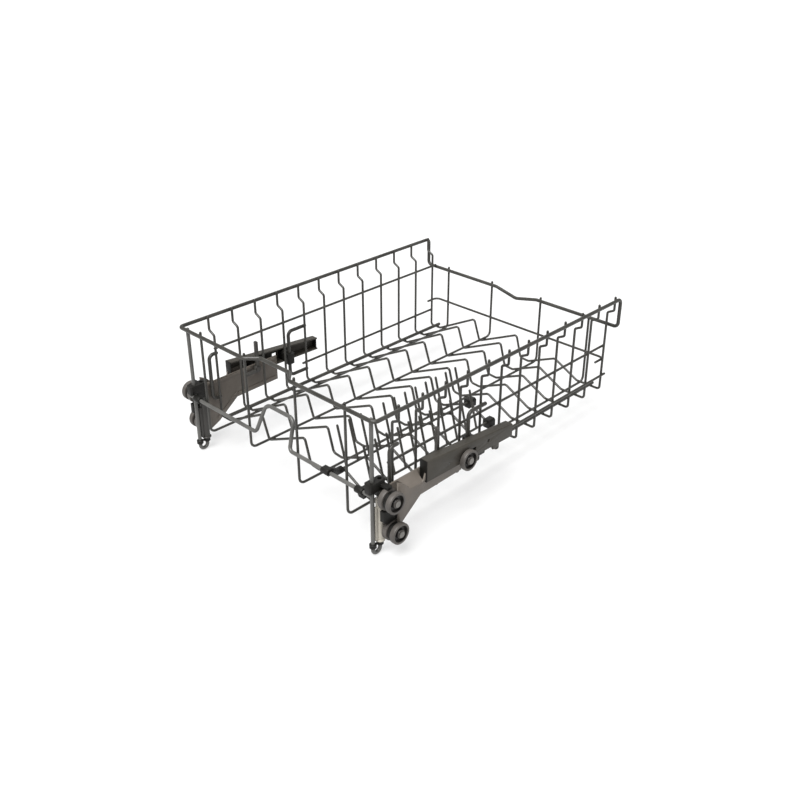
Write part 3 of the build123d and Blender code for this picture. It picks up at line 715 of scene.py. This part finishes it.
def makeShadeCaps(side, outward):
    # black caps over the channel's two ends: thin dark sheets as painted shade for the channel's
    # open, dark inside
    parts = []
    for end in ("rear", "front"):
        low, high = [spot(outward * across, along, down) for across, along, down in shadeCapShape[end]]
        parts.append(solidBlock(f"{side}Cap", low, high, shadeCapShape["round"]))
    caps = joinPieces(parts, f"{side}ChannelShadeCaps")
    finishPiece(caps, None, f"{side}_carriage", blackMoulding)


# width of the broken edges, material and slot of each piece of a carriage
carriageShape = {"rail_channel": (0.5, channelSheet, "grey_sheet"),
                 "rear_bracket": (0.5, bracketSheet, "grey_sheet"),
                 "guide_block": (0.6, blackMoulding, "dark_plastic"),
                 "front_runner": (0.6, blackMoulding, "dark_plastic"),
                 "release_lever": (0.7, leverMoulding, "lever_plastic")}


def makeCarriage(side, outward):
    for kind, (width, material, slot) in carriageShape.items():
        node = f"{side}_{kind}"
        body = node if kind == "release_lever" else f"{side}_carriage"
        piece = brokenEdges(node, width)
        if kind == "guide_block":
            piece = trimSkirt(piece, outward)
        if kind == "rear_bracket":
            piece = addRibs(trimPlate(piece, outward), outward)
        finishPiece(piece, node, body, material)
    # black sheets as painted shade over the channel's ends
    makeShadeCaps(side, outward)


clipShape = {"edge": 0.5, "nodes": ("rail_clip", "left_comb_clip", "right_comb_rear_clip",
                                    "right_comb_front_clip", "rail_sleeves")}


def makeClips():
    for node in clipShape["nodes"]:
        clip = brokenEdges(node, clipShape["edge"])
        finishPiece(clip, node, "basket", blackMoulding)


for side, outward in sides.items():
    makeCarriage(side, outward)
makeClips()
print("carriages and mouldings dressed")


# wheels, axles, carriers, foot stops and posts: a section spun round its axis

def spinSection(name, points, centre, axis, steps, closed=True):
    ring = vertexChain(name, points, closed)
    bpy.ops.mesh.select_all(action="SELECT")
    bpy.ops.mesh.spin(steps=steps, angle=math.tau, center=centre, axis=axis)
    cleanRound(ring, smoothAngles["spun"])
    return ring


def spinAcross(name, section, centre, outward, steps, start=0, closed=True):
    # a section in millimetres outward from its start and away from an axis across the basket
    points = [Vector((start + outward * along * mm, centre[1], centre[2] + away * mm))
              for along, away in section]
    return spinSection(name, points, centre, (1, 0, 0), steps, closed)


def spinUpright(name, section, centre, way, steps):
    # a section in millimetres up or down from the centre and away from an upright axis
    x, y, z = centre
    points = [Vector((x + away * mm, y, z + way * along * mm)) for along, away in section]
    return spinSection(name, points, centre, (0, 0, 1), steps)


def ringSection(start, end, bore, reach, edge):
    return [(start, bore), (start, reach - edge), (start + edge, reach), (end - edge, reach),
            (end, reach - edge), (end, bore)]


# recessShade is the painted shade in each wheel's hollow; shadeDepth and shadePast bound it
wheelShape = {"bore": 2.08, "hub": 5.5, "treadWall": 3.2, "recess": 3.8, "round": 1.0,
              "roundShare": 0.3, "lip": 0.5, "treadDraft": 0.3, "hubDraft": 0.6, "steps": 48,
              "recessShade": 0.22, "shadeDepth": 0.45, "shadePast": 0.1}


def wheelSection(width, radius):
    # from the plain back, over the tread and into the hollow between tread and hub
    shape = wheelShape
    bore, hub, lip, edge = (shape[key] for key in ("bore", "hub", "lip", "round"))
    corner, tread = edge * shape["roundShare"], radius - shape["treadWall"]
    floor = width - shape["recess"]
    return [(0, bore), (0, radius - edge), (corner, radius - corner), (edge, radius),
            (width - edge, radius), (width - corner, radius - corner), (width, radius - edge),
            (width, tread + lip), (width - lip, tread), (floor, tread - shape["treadDraft"]),
            (floor, hub + shape["hubDraft"]), (width - lip, hub), (width, hub - lip), (width, bore)]


def hollowPaintedShade(place, axle, face, outward, radius):
    # painted shade: the hollow is coloured darker than the tread
    away = math.hypot(place.y - axle.y, place.z - axle.z) / mm
    depth = (face - place.x) * outward / mm
    inner = wheelShape["hub"] - wheelShape["shadePast"]
    outer = radius - wheelShape["treadWall"] + wheelShape["shadePast"]
    hollow = depth > wheelShape["shadeDepth"] and inner < away < outer
    return wheelShape["recessShade"] if hollow else 1.0


def makeWheel(node):
    low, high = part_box(node)
    middle = boxMiddle(node)
    outward = 1 if middle[0] > 0 else -1
    width, radius = (high[0] - low[0]) / mm, (high[1] - low[1]) / 2 / mm
    back = low[0] if outward > 0 else high[0]
    face = back + outward * width * mm
    wheel = spinAcross(pieceName(node), wheelSection(width, radius), middle, outward,
                       wheelShape["steps"], start=back)
    # painted shade in the hollow
    paintShade(wheel, lambda place: hollowPaintedShade(place, middle, face, outward, radius))
    finishPiece(wheel, node, node, wheelMoulding)


# spans are from and to across the basket, at the thickness of the pin or of its heads
axleShape = {"pin": 2.0, "head": 4.0, "edge": 0.35, "steps": 32,
             "rear": [(176.38, 177.58, "head"), (177.58, 187.5, "pin"), (187.5, 190.1, "head"),
                      (190.1, 197.3, "pin"), (197.3, 198.5, "head")],
             "middle": [(187.5, 189.52, "pin"), (189.52, 190.1, "head"), (190.1, 197.3, "pin"),
                        (197.3, 198.5, "head")],
             "lever": [(165.8, 167.0, "head"), (167.0, 171.6, "pin"), (171.6, 187.46, "head"),
                       (187.46, 189.5, "pin")],
             "leverPlace": 111.7, "leverDrop": 97, "wheelShade": 1.0, "leverShade": 0.3}


def makePin(side, outward, kind, y, z, tone):
    shape, spans = axleShape, axleShape[kind]
    section = [(spans[0][0], 0)]
    for start, end, thickness in spans:
        reach, edge = shape[thickness], min(shape["edge"], (end - start) / 3)
        section += [(start, reach - edge), (start + edge, reach), (end - edge, reach),
                    (end, reach - edge)]
    section.append((spans[-1][1], 0))
    pin = spinAcross(f"{side}Pin", section, (0, y, z), outward, shape["steps"], closed=False)
    paintShade(pin, lambda place: tone)
    return pin


def makeAxles(side, outward):
    pins = []
    for kind, wheel in (("rear", "upper_outer"), ("rear", "lower_outer"), ("middle", "middle")):
        middle = boxMiddle(f"{side}_{wheel}_wheel")
        pins.append(makePin(side, outward, kind, middle.y, middle.z, axleShape["wheelShade"]))
    y, z = rearY + axleShape["leverPlace"] * mm, drop(axleShape["leverDrop"])
    pins.append(makePin(side, outward, "lever", y, z, axleShape["leverShade"]))
    axles = joinPieces(pins, f"{side}Axles")
    finishPiece(axles, f"{side}_axles", f"{side}_carriage", axleSteel)


carrierShape = {"inner": 185.1, "outer": 190.2, "reach": 11.3, "bore": 4, "edge": 0.5, "steps": 44,
                "spacer": [(7, 117.2), (26, 117.2), (30, 121), (30, 134.8), (11, 134.8), (7, 131)],
                "spacerInner": 178.4, "spacerOuter": 185.3, "spacerRound": 0.6}


def makeCarrier(side, outward):
    # one drum in each pair of rear wheels, with a spacer between the inner wheels
    shape = carrierShape
    section = ringSection(shape["inner"], shape["outer"], shape["bore"], shape["reach"],
                          shape["edge"])
    parts = []
    for wheel in ("upper_outer_wheel", "lower_outer_wheel"):
        middle = boxMiddle(f"{side}_{wheel}")
        centre = (0, middle.y, middle.z)
        parts.append(spinAcross(f"{side}Drum", section, centre, outward, shape["steps"]))
    parts.append(flatPlate(f"{side}Spacer", shape["spacer"], outward * shape["spacerInner"],
                           outward * shape["spacerOuter"], shape["spacerRound"]))
    carrier = joinPieces(parts, f"{side}WheelCarrier")
    finishPiece(carrier, None, f"{side}_carriage", blackMoulding)


stopShape = {"bore": 2.52, "reach": 4.4, "edge": 0.6, "tall": 5.8, "legs": (5.02, 16.52),
             "steps": 32, "bridge": 2.4, "bridgeDrop": 1.6, "bridgeInset": 3, "bridgeRound": 0.4}


def makeFootStops():
    # a collar round each leg, and a thin bridge between the two
    shape = stopShape
    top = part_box("foot_stops")[1][2]
    section = ringSection(0, shape["tall"], shape["bore"], shape["reach"], shape["edge"])
    places = [rearY + place * mm for place in shape["legs"]]
    half, inset = shape["bridge"] / 2 * mm, shape["bridgeInset"] * mm
    bridgeTop = top - shape["bridgeDrop"] * mm
    bridgeBottom = top - (shape["bridgeDrop"] + shape["bridge"]) * mm
    parts = []
    for side in sides:
        legLow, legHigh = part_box(f"{side}_guide_leg")
        x = (legLow[0] + legHigh[0]) / 2
        for y in places:
            parts.append(spinUpright(f"{side}Collar", section, (x, y, top), -1, shape["steps"]))
        parts.append(solidBlock(f"{side}Bridge", (x - half, places[0] + inset, bridgeBottom),
                                (x + half, places[1] - inset, bridgeTop), shape["bridgeRound"]))
    stops = joinPieces(parts, "footStops")
    finishPiece(stops, "foot_stops", "basket", blackMoulding)


postShape = {"bore": 2.52, "body": 4.8, "neck": 3.7, "neckHeight": 7.0, "flange": 6.2,
             "flangeHeight": 2.2, "step": 0.3, "round": 0.5, "steps": 40, "fin": (7.7, 12.6),
             "finTop": 119, "finBottom": 164, "finThick": 4.4, "finRound": 0.6}


def postSection(tall):
    shape = postShape
    bore, body, neck, flange = (shape[key] for key in ("bore", "body", "neck", "flange"))
    edge, step, ledge = shape["round"], shape["step"], shape["flangeHeight"]
    shoulder = tall - shape["neckHeight"]
    return [(0, bore), (0, flange - edge), (edge, flange), (ledge - edge, flange),
            (ledge, flange - edge), (ledge + step, body), (shoulder - edge, body),
            (shoulder, body - edge), (shoulder + step, neck), (tall - edge, neck),
            (tall, neck - edge), (tall, bore)]


def makePosts():
    # a post round each second leg, with a fin that fills the gap to the first
    shape = postShape
    low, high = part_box("guide_posts")
    section = postSection((high[2] - low[2]) / mm)
    finRear, finFront = (rearY + place * mm for place in shape["fin"])
    half = shape["finThick"] / 2 * mm
    posts = []
    for side in sides:
        legLow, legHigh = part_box(f"{side}_guide_leg")
        x, y = (legLow[0] + legHigh[0]) / 2, legHigh[1] - heavyHalf
        posts.append(spinUpright(f"{side}Post", section, (x, y, low[2]), 1, shape["steps"]))
        posts.append(solidBlock(f"{side}Fin", (x - half, finRear, drop(shape["finBottom"])),
                                (x + half, finFront, drop(shape["finTop"])), shape["finRound"]))
    finishPiece(joinPieces(posts, "guidePosts"), "guide_posts", "basket", palePost)


for node in [name for name in nodes if name.endswith("wheel")]:
    makeWheel(node)
for side, outward in sides.items():
    makeAxles(side, outward)
for side, outward in sides.items():
    makeCarrier(side, outward)
makeFootStops()
makePosts()
print("wheels, axles and posts spun")


# floor, light and camera

stageLook = {"floorSize": 30.0, "floorTone": (0.25, 0.25, 0.249), "floorRough": 0.9,
             "floorGlow": 0.62, "skyTone": (1.0, 1.0, 1.0), "skyStrength": 0.4}
keyLook = {"place": (0.12, -0.45, 0.88), "power": 5.4, "angle": 40}
fillLook = {"place": (1.6, 0.5, 1.0), "target": (0, 0, 0.1), "size": 1.4, "power": 3}
backLook = {"place": (-1.0, 1.3, 1.4), "target": (0, 0, 0.1), "size": 1.2, "power": 6}
cameraPlace = {"location": (0.8229, -0.8642, 0.6994), "forward": (-0.611, 0.631, -0.477),
               "lens": 43.8, "sensor": 36}


def makeStage():
    deselectAll()
    bpy.ops.mesh.primitive_plane_add(size=stageLook["floorSize"], location=(0, 0, 0))
    floor = bpy.context.object
    floor.name = "studioFloor"
    paint = bpy.data.materials.new("paleFloor")
    paint.use_nodes = True
    shader = paint.node_tree.nodes["Principled BSDF"]
    shader.inputs["Base Color"].default_value = (*stageLook["floorTone"], 1)
    shader.inputs["Roughness"].default_value = stageLook["floorRough"]
    shader.inputs["Emission Color"].default_value = (1, 1, 1, 1)
    shader.inputs["Emission Strength"].default_value = stageLook["floorGlow"]
    floor.data.materials.append(paint)
    world = bpy.data.worlds.new("paleSky")
    world.use_nodes = True
    sky = world.node_tree.nodes["Background"]
    sky.inputs["Color"].default_value = (*stageLook["skyTone"], 1)
    sky.inputs["Strength"].default_value = stageLook["skyStrength"]
    bpy.context.scene.world = world


def sunLight(name, look):
    deselectAll()
    bpy.ops.object.light_add(type="SUN", location=look["place"])
    lamp = bpy.context.object
    lamp.name = name
    lamp.data.energy = look["power"]
    lamp.data.angle = math.radians(look["angle"])
    lamp.rotation_euler = Vector(look["place"]).to_track_quat("Z", "Y").to_euler()


def softLight(name, look):
    deselectAll()
    bpy.ops.object.light_add(type="AREA", location=look["place"])
    lamp = bpy.context.object
    lamp.name = name
    lamp.data.size = look["size"]
    lamp.data.energy = look["power"]
    aim = Vector(look["target"]) - Vector(look["place"])
    lamp.rotation_euler = aim.to_track_quat("-Z", "Y").to_euler()


def makeCamera():
    deselectAll()
    bpy.ops.object.camera_add(location=cameraPlace["location"])
    camera = bpy.context.object
    camera.rotation_euler = Vector(cameraPlace["forward"]).to_track_quat("-Z", "Y").to_euler()
    camera.data.lens = cameraPlace["lens"]
    camera.data.sensor_width = cameraPlace["sensor"]
    bpy.context.scene.camera = camera


makeStage()
sunLight("keyLight", keyLook)
softLight("fillLight", fillLook)
softLight("backLight", backLook)
makeCamera()
bpy.context.scene.view_settings.view_transform = "Standard"
print("stage set")

bpy.context.view_layer.update()
